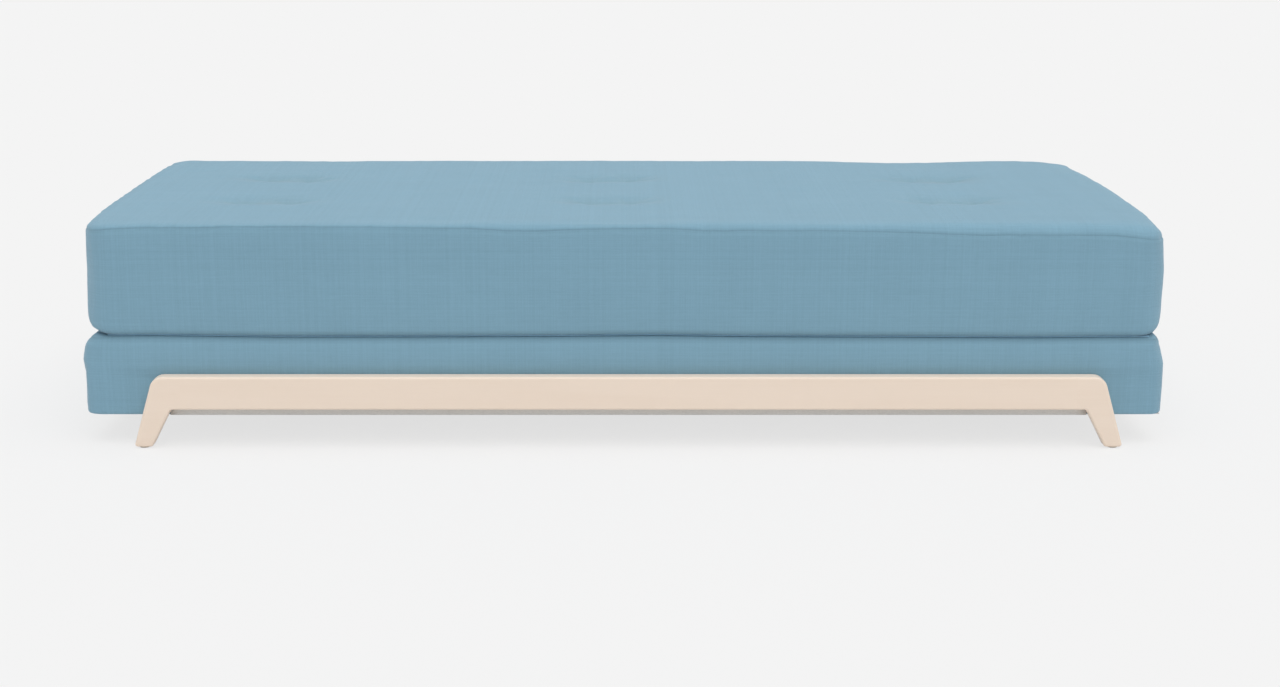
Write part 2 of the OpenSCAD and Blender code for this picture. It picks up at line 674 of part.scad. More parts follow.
rail(-1);  // front_rail
leg(-1, -1);  // front_leg_left
leg(-1, 1);  // front_leg_right
rail(1);  // rear_rail
leg(1, -1);  // rear_leg_left
leg(1, 1);  // rear_leg_right
leg_dowels();
felt_pads();
long_beam(-1);  // beam_front
long_beam(1);  // beam_rear
short_beam(-side_beam_x);  // beam_left
short_beam(side_beam_x);  // beam_right
for (i = [1 : 3])
    short_beam(cross_slots[i - 1] * slat_pitch);
corner_blocks();
for (i = [1 : slat_count])
    slat(i);
slat_screws();
beam_screws();
rail_bolts();
bolt_washers();
threaded_inserts();
base_foam();
base_cover();
dust_cover();
hinge_tape();
mattress_core();
mattress_topper();
mattress_cover();
for (i = [1 : 6])
    tuft_tie(i);
tuft_toggles();
zip_tape();
zip_coil();
zip_stops();
zip_slider();
zip_pull();
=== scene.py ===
"""Sofa bed: a tufted mattress on an upholstered box, carried by two pale timber frames.

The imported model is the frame. This script covers it with sewn covers, foam, tapes and stitching,
gives every part its finish, and sets the floor, the light and the camera.
Sizes are in metres; X runs along the length, -Y is the front, Z is up from the floor.
"""
import json
from math import pi, radians

import bmesh
import bpy
import numpy as np
from mathutils import Matrix, Vector


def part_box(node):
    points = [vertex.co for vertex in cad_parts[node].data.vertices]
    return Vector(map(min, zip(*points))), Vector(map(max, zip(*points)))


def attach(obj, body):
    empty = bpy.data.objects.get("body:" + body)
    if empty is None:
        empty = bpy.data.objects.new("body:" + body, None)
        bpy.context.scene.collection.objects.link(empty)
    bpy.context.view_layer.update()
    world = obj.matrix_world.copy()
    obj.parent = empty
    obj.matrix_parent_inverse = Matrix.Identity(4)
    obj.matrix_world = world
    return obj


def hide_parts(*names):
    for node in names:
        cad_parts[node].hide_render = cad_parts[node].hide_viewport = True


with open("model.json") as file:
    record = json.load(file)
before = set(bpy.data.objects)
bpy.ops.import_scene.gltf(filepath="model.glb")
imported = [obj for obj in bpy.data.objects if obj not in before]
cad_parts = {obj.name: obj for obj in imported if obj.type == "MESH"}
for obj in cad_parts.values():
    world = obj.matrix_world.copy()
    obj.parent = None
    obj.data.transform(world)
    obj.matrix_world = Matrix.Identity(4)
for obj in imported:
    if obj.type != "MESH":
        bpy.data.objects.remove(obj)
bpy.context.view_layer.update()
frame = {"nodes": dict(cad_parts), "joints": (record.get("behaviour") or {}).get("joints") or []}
nodes = frame["nodes"]
scene = bpy.context.scene


def corners_of(node):
    """A solid's lowest and highest corners at rest, rounded to a thousandth of a millimetre."""
    return [[round(v, 6) for v in corner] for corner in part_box(node)]


# Sizes that the solids give
mattress_low, mattress_high = corners_of("mattress_cover")
base_low, base_high = corners_of("base_cover")
CROWN = 0.002
MATTRESS_FLOOR = mattress_low[2]
MATTRESS_HALF = Vector((*mattress_high[:2], (mattress_high[2] - CROWN - MATTRESS_FLOOR) / 2))
BASE_FLOOR = base_low[2]
BASE_TOP = base_high[2]
BASE_HALF = Vector((*base_high[:2], (BASE_TOP - BASE_FLOOR) / 2))
RAIL_TOP = corners_of("front_rail")[1][2]
FELT_RADIUS = 0.009
FOOT_X = corners_of("felt_pads")[1][0] - FELT_RADIUS
FOOT_Y = 0.414
fold = next(joint for joint in frame["joints"] if joint["name"] == "mattress_fold")
HINGE_Y, HINGE_Z = fold["pos_m"][1:]
TAPE_HALF, TAPE_REAR = corners_of("hinge_tape")[1][:2]
TAPE_WIDTH = 0.0545
CORD_RADIUS = 0.0011
ZIP_HALF = corners_of("zip_tape")[1][0]
ZIP_Z = MATTRESS_FLOOR + MATTRESS_HALF.z
ZIP_RECESS_Y = 0.3906

# Sizes of the sewing
MATTRESS_CORNER = 0.042
BASE_CORNER = 0.028
TUFT_COLUMNS = (-0.714, -0.038, 0.638)
TUFT_ROWS = (-0.4 / 3, 0.4 / 3)
TUFT_GAP = 0.09
SEAM_REACH = 0.04
# The top is pressed flat above this height, within that room, so that it clears the floor when folded out
TOP_FREE = 0.4185
TOP_ROOM = 0.0034


# Camera, light and floor
def place_camera():
    """The photograph's place: low in front, a little to the left, looking slightly down."""
    data = bpy.data.cameras.new("front_view")
    data.sensor_width = 36
    data.lens = 53.15
    data.shift_x = 0.0147
    camera = bpy.data.objects.new("front_view", data)
    camera.location = (-0.0136, -3.81, 1.055)
    camera.rotation_euler = (radians(90 - 14.14), 0, 0)
    scene.collection.objects.link(camera)
    scene.camera = camera


class Socket:
    """An output of a material's node; Python's operators on it add Math nodes."""

    def __init__(self, finish, out):
        self.finish = finish
        self.out = out

    def maths(self, operation, *values, **settings):
        return self.finish.add("Math", values, operation=operation, **settings)

    def __add__(self, other):
        return self.maths("ADD", self, other)

    __radd__ = __add__

    def __sub__(self, other):
        return self.maths("SUBTRACT", self, other)

    def __rsub__(self, other):
        return self.maths("SUBTRACT", other, self)

    def __mul__(self, other):
        return self.maths("MULTIPLY", self, other)

    __rmul__ = __mul__

    def __truediv__(self, other):
        return self.maths("DIVIDE", self, other)

    def __neg__(self):
        return self.maths("MULTIPLY", self, -1)

    def __abs__(self):
        return self.maths("ABSOLUTE", self)

    def __gt__(self, other):
        return self.maths("GREATER_THAN", self, other)

    def __lt__(self, other):
        return self.maths("LESS_THAN", self, other)

    def sin(self):
        return self.maths("SINE", self)

    def floor(self):
        return self.maths("FLOOR", self)

    def fraction(self):
        return self.maths("FRACT", self)

    def exp(self):
        return self.maths("EXPONENT", self)

    def clamp(self):
        return self.maths("ADD", self, 0, use_clamp=True)


class Finish:
    """One material: a Principled shader and the nodes that feed it."""

    def __init__(self, name, **constants):
        self.material = bpy.data.materials.new(name)
        self.material.use_nodes = True
        self.tree = self.material.node_tree
        self.shader = self.tree.nodes["Principled BSDF"]
        for key, value in constants.items():
            self.shader.inputs[key.replace("_", " ").title().replace("Ior", "IOR")].default_value = value

    def add(self, kind, values=(), out=0, **settings):
        """A node of that type with its settings, then the values or links of its sockets."""
        node = self.tree.nodes.new("ShaderNode" + kind)
        for key, value in settings.items():
            setattr(node, key, value)
        pairs = values.items() if isinstance(values, dict) else enumerate(values)
        for key, value in pairs:
            if isinstance(value, Socket):
                self.tree.links.new(value.out, node.inputs[key])
            else:
                node.inputs[key].default_value = value
        return Socket(self, node.outputs[out])

    def places(self, turn=(0, 0, 0), scale=(1, 1, 1)):
        """Object coordinates, turned and stretched."""
        place = self.add("TexCoord", out="Object")
        return self.add("Mapping", {"Vector": place, "Rotation": turn, "Scale": scale})

    def cloth_uv(self):
        """Metres along and across the cloth."""
        place = self.add("UVMap", uv_map="cloth")
        parts = self.add("SeparateXYZ", [place])
        return parts, Socket(self, parts.out.node.outputs[1])

    def join(self, x, y, z=0.0):
        return self.add("CombineXYZ", [x, y, z])

    def noise(self, vector, scale=1.0, detail=2.0, roughness=0.5, distortion=0.0):
        """Smooth noise, about 0.3 to 0.7."""
        return self.add("TexNoise", {"Vector": vector, "Scale": scale, "Detail": detail,
                                     "Roughness": roughness, "Distortion": distortion})

    def chance(self, value):
        """One random number from 0 to 1 for each whole value."""
        return self.add("TexWhiteNoise", {"W": value}, noise_dimensions="1D")

    def attribute(self, name):
        return self.add("Attribute", attribute_name=name, out="Fac")

    def blend(self, factor, first, second):
        """Two colours mixed by a factor."""
        node = self.tree.nodes.new("ShaderNodeMix")
        node.data_type = "RGBA"
        for socket, value in zip((node.inputs[0], node.inputs[6], node.inputs[7]),
                                 (factor, first, second)):
            if isinstance(value, Socket):
                self.tree.links.new(value.out, socket)
            else:
                socket.default_value = value if not isinstance(value, tuple) else (*value, 1)
        return Socket(self, node.outputs[2])

    def tone(self, colour, amount):
        """A colour made lighter or darker by a number that varies."""
        first = colour if isinstance(colour, Socket) else self.add("RGB")
        if not isinstance(colour, Socket):
            first.out.default_value = (*colour, 1)
        return self.add("VectorMath", {0: first, "Scale": amount}, operation="SCALE")

    def wear(self, **links):
        """Feeds the shader's inputs of those names."""
        for key, value in links.items():
            self.tree.links.new(value.out, self.shader.inputs[key.replace("_", " ").title()])

    def relief(self, height, distance, strength=1.0, under=None):
        """A bump of that height in metres, on top of another one."""
        values = {"Height": height, "Distance": distance, "Strength": strength}
        if under:
            values["Normal"] = under
        return self.add("Bump", values)


def light_and_floor():
    """A soft even studio: pale sky all round, one broad lamp from above, and a plain floor."""
    scene.view_settings.view_transform = "Standard"
    world = bpy.data.worlds.new("studio")
    scene.world = world
    world.use_nodes = True
    tree = world.node_tree
    sky = tree.nodes["Background"]
    paths = tree.nodes.new("ShaderNodeLightPath")
    seen = tree.nodes.new("ShaderNodeMath")
    seen.operation = "MAXIMUM"
    tree.links.new(paths.outputs["Is Camera Ray"], seen.inputs[0])
    glossy = tree.nodes.new("ShaderNodeMath")
    glossy.operation = "MAXIMUM"
    tree.links.new(paths.outputs["Is Glossy Ray"], glossy.inputs[0])
    tree.links.new(paths.outputs["Is Transmission Ray"], glossy.inputs[1])
    tree.links.new(glossy.outputs[0], seen.inputs[1])
    shade = tree.nodes.new("ShaderNodeMix")
    shade.data_type = "RGBA"
    tree.links.new(seen.outputs[0], shade.inputs[0])
    shade.inputs[6].default_value = (0.53, 0.53, 0.53, 1)
    shade.inputs[7].default_value = (0.896, 0.896, 0.896, 1)
    tree.links.new(shade.outputs[2], sky.inputs["Color"])

    lamp = bpy.data.lights.new("broad_lamp", "SUN")
    lamp.energy = 1.84
    lamp.angle = radians(65)
    top = bpy.data.objects.new("broad_lamp", lamp)
    top.rotation_euler = Vector((0.10, -0.25, 1)).to_track_quat("Z", "Y").to_euler()
    scene.collection.objects.link(top)

    bm = bmesh.new()
    bmesh.ops.create_grid(bm, x_segments=1, y_segments=1, size=40)
    floor = as_object("studio_floor", bm)
    paint = Finish("pale_floor", roughness=0.9)
    mottle = paint.noise(paint.places(), 1.3, 3)
    paint.wear(base_color=paint.tone((0.85, 0.85, 0.85), mottle * 0.01 + 0.995))
    # What the camera sees of the floor is mostly its own plain tone, so that shadows stay pale
    glow = paint.add("Emission", {"Color": (0.896, 0.896, 0.896, 1), "Strength": 1.0})
    seen = paint.add("LightPath", out="Is Camera Ray")
    for other in ("Is Glossy Ray", "Is Transmission Ray"):
        seen = seen.maths("MAXIMUM", seen, paint.add("LightPath", out=other))
    seen = seen * 0.8
    both = paint.add("MixShader", [seen, Socket(paint, paint.shader.outputs[0]), glow])
    output = next(n for n in paint.tree.nodes if n.type == "OUTPUT_MATERIAL")
    paint.tree.links.new(both.out, output.inputs["Surface"])
    floor.data.materials.append(paint.material)


# Meshes
def as_object(name, bm, smooth=False):
    """The bmesh as a new object of that name."""
    mesh = bpy.data.meshes.new(name)
    bm.to_mesh(mesh)
    bm.free()
    if smooth:
        mesh.polygons.foreach_set("use_smooth", [True] * len(mesh.polygons))
    piece = bpy.data.objects.new(name, mesh)
    scene.collection.objects.link(piece)
    return piece


def get_places(mesh):
    """The places of a mesh's points, one row each."""
    found = np.empty(len(mesh.vertices) * 3)
    mesh.vertices.foreach_get("co", found)
    return found.reshape(-1, 3)


def set_places(mesh, places):
    """Moves a mesh's points to those places."""
    mesh.vertices.foreach_set("co", places.astype(np.float32).ravel())
    mesh.update()


def waves(seed, count, low, high, *axes):
    """Smooth seeded waviness, about -1 to 1, with wavelengths between low and high."""
    chance = np.random.default_rng(seed)
    total = 0
    for _ in range(count):
        way = chance.normal(size=len(axes))
        way = way / np.linalg.norm(way) * 2 * pi / chance.uniform(low, high)
        total = total + np.sin(sum(w * a for w, a in zip(way, axes)) + chance.uniform(0, 2 * pi))
    return total / count ** 0.5 * 0.8


def spread(stops, pitch):
    """Lines through all the stops, with no gap wider than the pitch."""
    found = [stops[0]]
    for a, b in zip(stops, stops[1:]):
        steps = max(1, int(np.ceil((b - a) / pitch - 1e-6)))
        found += [a + (b - a) * k / steps for k in range(1, steps + 1)]
    return np.array(found)


def boxed(name, lines):
    """A closed box of cloth panels cut along the lines of each axis; returns it with the place of each
    point on the flat panels, and gives it the panels' own UV map in metres."""
    bm = bmesh.new()
    bmesh.ops.create_cube(bm, size=2)
    for axis in range(3):
        run = [e for e in bm.edges if abs(e.verts[0].co[axis] - e.verts[1].co[axis]) > 1]
        bmesh.ops.subdivide_edges(bm, edges=run, cuts=len(lines[axis]) - 2, use_grid_fill=True)
    piece = as_object(name, bm, smooth=True)
    mesh = piece.data
    unit = get_places(mesh)
    flat = np.stack([np.interp(unit[:, k], np.linspace(-1, 1, len(lines[k])), lines[k])
                     for k in range(3)], axis=1)
    normals = np.empty(len(mesh.polygons) * 3)
    mesh.polygons.foreach_get("normal", normals)
    side = np.abs(normals.reshape(-1, 3)).argmax(1)
    sizes = np.empty(len(mesh.polygons), int)
    mesh.polygons.foreach_get("loop_total", sizes)
    corners = np.empty(len(mesh.loops), int)
    mesh.loops.foreach_get("vertex_index", corners)
    side = np.repeat(side, sizes)
    first, second = np.array([1, 0, 0])[side], np.array([2, 2, 1])[side]
    uv = np.stack([flat[corners, first], flat[corners, second]], axis=1)
    layer = mesh.uv_layers.new(name="cloth")
    layer.uv.foreach_set("vector", uv.astype(np.float32).ravel())
    return piece, flat


def mark(piece, name, values):
    """Keeps a number at each point for the finishes to read."""
    found = piece.data.attributes.new(name, "FLOAT", "POINT")
    found.data.foreach_set("value", values.astype(np.float32))


def rounded(flat, half, corner, top_edge, low_edge, seam_shift, lean=pi / 4):
    """Places on a box with round corners and edges, the way out at each, the distance from the
    nearer seam and the run along it: seams run along the top and bottom edges, and the top one may
    wander. The top panel leans out at its seam by that angle. The run is x along the front, and it
    goes on without a jump round the corners."""
    x, y, z = flat.T
    height = 2 * half.z
    sx, sy = np.sign(x), np.sign(y)
    dx, dy = np.abs(x) - (half.x - corner), np.abs(y) - (half.y - corner)
    big = np.maximum(dx, dy)
    turning = (dx > 0) & (dy > 0)
    with np.errstate(divide="ignore", invalid="ignore"):
        angle = np.where(dx >= dy, pi / 4 * dy / dx, pi / 2 - pi / 4 * dx / dy)
    out_x = np.where(turning, np.cos(angle), (dx >= dy) * 1.0) * sx
    out_y = np.where(turning, np.sin(angle), (dx < dy) * 1.0) * sy
    plan_x = np.where(turning, sx * (half.x - corner) + out_x * big, x)
    plan_y = np.where(turning, sy * (half.y - corner) + out_y * big, y)
    inward = np.maximum(corner - big, 0)

    def profile(run, radius, shift, lean):
        """Inset and drop of a place at that run past the seam."""
        fade = np.clip(np.abs(run) / corner, 0, 1)
        q = run + shift * (1 - fade) + radius * fade * np.where(run > 0, pi / 2 - lean - 1, 1 - lean)
        turn = np.clip(lean + q / radius, 0, pi / 2)
        inset = radius * (1 - np.cos(turn)) + np.maximum(q - radius * (pi / 2 - lean), 0)
        drop = radius * (1 - np.sin(turn)) + np.maximum(-q - radius * lean, 0)
        return inset, drop

    on_top = z > height - 1e-6
    on_floor = z < 1e-6
    upper = z > height / 2
    run = np.where(on_top | on_floor, inward, -np.where(upper, height - z, z))
    top_inset, top_drop = profile(run, top_edge, seam_shift(plan_x, plan_y), lean)
    low_inset, low_drop = profile(run, low_edge, 0, pi / 4)
    inset = np.where(upper, top_inset, low_inset)
    start = np.where(on_top | on_floor, inward, 0)
    moved = start - inset
    places = np.stack([plan_x + out_x * moved, plan_y + out_y * moved,
                       np.where(upper, height - top_drop, low_drop)], axis=1)
    out = np.stack([out_x, out_y, np.zeros_like(x)], axis=1)
    along = plan_x + plan_y + (out_x + out_y) * inward + half.y
    return places, out, np.abs(run), along, on_top, on_floor


def puff(piece, held, cap):
    """Blows the cover up from inside while the held points stay, and keeps every move within the cap."""
    frames = 10
    mesh = piece.data
    start = get_places(mesh)
    group = piece.vertex_groups.new(name="held")
    for index in np.nonzero(held > 0.01)[0]:
        group.add([int(index)], float(held[index]), "REPLACE")
    cloth = piece.modifiers.new("stuffing", "CLOTH")
    cloth.settings.vertex_group_mass = "held"
    cloth.settings.use_pressure = True
    cloth.settings.uniform_pressure_force = 4
    cloth.settings.quality = 3
    cloth.settings.tension_stiffness = 25
    cloth.settings.compression_stiffness = 25
    cloth.settings.bending_stiffness = 1.5
    cloth.settings.effector_weights.gravity = 0
    cloth.point_cache.frame_start = 1
    cloth.point_cache.frame_end = frames
    for step in range(1, frames + 1):
        scene.frame_set(step)
    shaped = piece.evaluated_get(bpy.context.evaluated_depsgraph_get()).to_mesh()
    moved = get_places(shaped) - start
    piece.modifiers.remove(cloth)
    piece.vertex_groups.clear()
    scene.frame_set(1)
    length = np.linalg.norm(moved, axis=1)
    moved *= (cap * np.tanh(length / cap) / np.maximum(length, 1e-9))[:, None]
    set_places(mesh, start + moved)


def normals_of(mesh):
    """The way out of the mesh at each of its points."""
    found = np.empty(len(mesh.vertices) * 3)
    mesh.vertices.foreach_get("normal", found)
    return found.reshape(-1, 3)


def end_share(flat, half):
    """1 along the two ends, 0 along the front and the rear, and between them round the corners."""
    near_end, near_side = half.x - np.abs(flat[:, 0]), half.y - np.abs(flat[:, 1])
    return np.clip(0.5 + (near_side - near_end) / (2 * MATTRESS_CORNER), 0, 1)


def groove_droop(x, y):
    """How far the groove hangs below the line of the hinge: its lips are soft, and it wanders."""
    deep = np.interp(x, [-0.95, -0.88, -0.65, -0.43, -0.14, 0.05, 0.23, 0.52, 0.75, 0.90],
                     [0.0010, 0.0005, 0.0034, 0.0032, 0.0020, 0.0003, 0.0024, 0.0036, 0.0048, 0.0034])
    return deep * np.clip((-y - 0.350) / 0.036, 0, 1) ** 2


# Mattress
def top_rounding(flat):
    """Radius of the top panel's edge above its seam: the front one grows towards the right, where the
    seam lies lower."""
    x, y = flat[:, 0], flat[:, 1]
    front = np.interp(x, [-1.0, -0.888, -0.80, -0.72, -0.45, -0.374, -0.30, -0.228, -0.154, -0.08, 0.066,
                          0.139, 0.36, 0.506, 0.58, 0.65, 0.90, 1.0],
                      [0.009, 0.006, 0.006, 0.004, 0.004, 0.007, 0.007, 0.013, 0.013, 0.009, 0.008,
                       0.013, 0.013, 0.016, 0.020, 0.023, 0.023, 0.026])
    front = front + 0.0006 * waves(6, 5, 0.04, 0.16, x, y)
    rear = 0.014 + 0.002 * waves(5, 4, 0.3, 0.9, x, y)
    ends = np.where(x < 0, 0.010, 0.026) + 0.0015 * waves(7, 4, 0.2, 0.6, x, y)
    share = end_share(flat, MATTRESS_HALF)
    return (1 - share) * np.where(y < 0, front, rear) + share * ends


def tuft_shape(x, y):
    """Depth of the tufts: two stitches in each, joined by a shallower trough, with small folds."""
    depth = 0 * x
    for k, cx in enumerate(TUFT_COLUMNS):
        for m, cy in enumerate(TUFT_ROWS):
            for s in (-1, 1):
                dx, dy = x - cx - s * TUFT_GAP / 2, y - cy
                far = np.hypot(dx, dy)
                turn = np.arctan2(dy, dx)
                depth += 0.0088 * np.exp(-(dx / 0.052) ** 2 - (dy / 0.038) ** 2)
                depth += 0.0040 * np.exp(-(far / 0.018) ** 2)
                folds = np.sin(5 * turn + k * 2.1 + m + s) + 0.6 * np.sin(8 * turn + 1.3 * k + s)
                depth += 0.0009 * folds * np.exp(-((far - 0.035) / 0.022) ** 2)
    return depth


def make_mattress(finish):
    """The mattress cover: crowned top, tufts, sewn edges and the zip's recess at the rear."""
    fine = [t + s * TUFT_GAP / 2 for t in TUFT_COLUMNS for s in (-1, 1)]
    ends = [MATTRESS_HALF.x - d for d in (0, 0.0018, 0.0045, 0.009, 0.02, MATTRESS_CORNER)]
    zips = [ZIP_HALF + d for d in (-0.004, -0.0005, 0.0005, 0.003)]
    stops = sorted(ends + [-e for e in ends] + zips + [-e for e in zips])
    dense = sorted(set(round(c + d, 4) for c in fine for d in np.arange(-0.045, 0.0451, 0.005)))
    lines_x = spread(sorted(set(stops + dense)), 0.011)
    sides = [MATTRESS_HALF.y - d for d in (0, 0.0018, 0.0045, 0.009, 0.02, MATTRESS_CORNER)]
    dense = [round(c + d, 4) for c in TUFT_ROWS for d in np.arange(-0.05, 0.0501, 0.005)]
    lines_y = spread(sorted(set(sides + [-e for e in sides] + dense)), 0.011)
    edge_z = [0, 0.0018, 0.0045, 0.009, 0.018]
    tall, half = 2 * MATTRESS_HALF.z, MATTRESS_HALF.z
    middle = [half + s * d for d in (0.0088, 0.0093, 0.0097, 0.011, 0.0135) for s in (-1, 1)]
    lines_z = spread(sorted(set(edge_z + [tall - e for e in edge_z] + middle + [half])), 0.010)
    piece, flat = boxed("mattress_shell", (lines_x, lines_y, lines_z))
    low_rounding = end_share(flat, MATTRESS_HALF) * 0.010 + 0.014
    places, out, seam, along, on_top, on_floor = rounded(
        flat, MATTRESS_HALF, MATTRESS_CORNER, top_rounding(flat), low_rounding, lambda x, y: 0, 0.15)
    x, y = places[:, 0].copy(), places[:, 1].copy()
    z = flat[:, 2]
    side = ~(on_top | on_floor)

    # The top is a little crowned; its right end and a stretch of the rear edge have sunk
    inner = np.minimum(MATTRESS_HALF.x - np.abs(flat[:, 0]), MATTRESS_HALF.y - np.abs(flat[:, 1]))
    lift = np.clip((places[:, 2] - 0.1) / 0.09, 0, 1)
    places[:, 2] += 0.0015 * lift + np.where(on_top, 0.001 * (1 - np.exp(-inner / 0.05)), 0)
    sunk = np.interp(y, [-0.4, -0.25, 0.1, 0.4], [0.004, 0.0015, 0.002, 0.009])
    sunk *= np.exp(-(np.minimum(1.0 - x, 0.3) / 0.07) ** 2)
    for cx, cy, depth, reach in ((-1, -0.4, 0.0035, 0.06), (1, -0.4, 0.004, 0.09)):
        sunk += depth * np.exp(-((x - cx) ** 2 + (y - cy) ** 2) / reach ** 2)
    sunk += 0.0045 * np.exp(-((x - 0.62) / 0.14) ** 2) * np.clip((y - 0.1) / 0.25, 0, 1) ** 2
    places[:, 2] -= sunk * lift
    # The ends are full, the left one most
    bulge = 0.012 * (1 - (y / 0.4) ** 2)
    bulge += np.where(x < 0, 0.008, 0.001) * np.clip(0.5 + y / 0.8, 0, 1) ** 2
    full = np.where(x < 0, np.interp(z, [0, 0.012, 0.03, 0.06, 0.12, tall],
                                     [0.004, 0.010, 0.012, 0.010, 0.006, 0.004]),
                    np.interp(z, [0, 0.03, 0.06, 0.12, 0.16, tall],
                              [-0.006, -0.005, -0.006, -0.005, -0.008, -0.011]))
    far = np.clip((np.abs(x) - 0.8) / 0.2, 0, 1)
    places[:, 0] += np.sign(x) * (bulge * np.clip(z / 0.05, 0, 1) + full) * far ** 2
    places[:, 1] -= 0.001 * np.sin(pi * np.clip(z / tall, 0, 1)) * np.where(side, out[:, 1], 0)

    # The zip's recess at the rear
    away_z, away_x = np.abs(z - half), np.abs(flat[:, 0]) - ZIP_HALF
    lip = np.interp(away_z, [0.0093, 0.0097, 0.011, 0.0135], [1, 0.5, 0.12, 0])
    lip *= np.interp(away_x, [-0.0005, 0.0005, 0.003], [1, 0.4, 0])
    rear = side & (out[:, 1] > 0.99)
    recess = np.where(rear, lip, 0)

    tufts = tuft_shape(x, y)
    places[:, 2] -= np.where(on_top, tufts, 0) * 0.8
    places[:, 2] += MATTRESS_FLOOR
    set_places(piece.data, places)

    # Stuffing pushes the panels out between the seams, the ties and the base under it
    held = np.exp(-(seam / 0.003) ** 2)
    core = np.zeros(len(x))
    for cx in TUFT_COLUMNS:
        for cy in TUFT_ROWS:
            for s in (-1, 1):
                far = np.hypot(x - cx - s * TUFT_GAP / 2, y - cy)
                core = np.maximum(core, np.exp(-(far / 0.016) ** 2))
    held = np.maximum(held, np.where(on_top, core, 0))
    held = np.maximum(held, np.where(on_floor | (z < 0.012), 1, 0))
    held = np.maximum(held, np.where(rear & (away_z < 0.016) & (away_x < 0.004), 1, 0))
    puff(piece, np.clip(held, 0, 1), np.where(on_top, 0.0012, 0.0035))

    # Sewn detail: the seam's crease, small puckers beside it, and the folds at the tufts
    places = get_places(piece.data)
    normal = normals_of(piece.data)
    crease = 0.0016 * np.exp(-(seam / 0.0045) ** 2) * (1 + 0.3 * waves(11, 5, 0.02, 0.2, along, z))
    pucker = 0.0007 * waves(12, 7, 0.03, 0.09, along) * np.exp(-((seam - 0.008) / 0.011) ** 2)
    lower = z < half
    crease = np.where(on_floor, 0, crease)
    places -= normal * np.where(lower, crease * 0.5, crease + pucker)[:, None]
    places[:, 2] -= np.where(on_top, tufts * 0.2, 0)
    swell = 0.0012 * waves(13, 6, 0.15, 0.5, x, y) + 0.0007 * waves(14, 6, 0.05, 0.14, x, y)
    places[:, 2] += np.where(on_top, swell * np.clip(seam / 0.05, 0, 1), 0)
    ripple = 0.0010 * waves(15, 6, 0.12, 0.45, along, z) * np.sin(pi * z / tall)
    places += out * np.where(side & ~(recess > 0), ripple, 0)[:, None]
    places[:, 1] = np.where(recess > 0, places[:, 1] * (1 - recess) + ZIP_RECESS_Y * recess,
                            places[:, 1])
    droop = groove_droop(x, y) * np.clip(1 - z / 0.05, 0, 1)
    places[:, 2] = np.maximum(places[:, 2], MATTRESS_FLOOR) - droop
    over = np.maximum(places[:, 2] - TOP_FREE, 0)
    places[:, 2] += TOP_ROOM * np.tanh(over / TOP_ROOM) - over
    set_places(piece.data, places)
    mark(piece, "seam", np.minimum(seam, SEAM_REACH))
    mark(piece, "along", along)
    # Depth of the tufts, for the painted shade in their dips
    mark(piece, "tuft_shade", np.where(on_top, np.clip(tufts / 0.010, 0, 1), 0))
    piece.data.materials.append(finish)
    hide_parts("mattress_cover")
    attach(piece, "mattress")


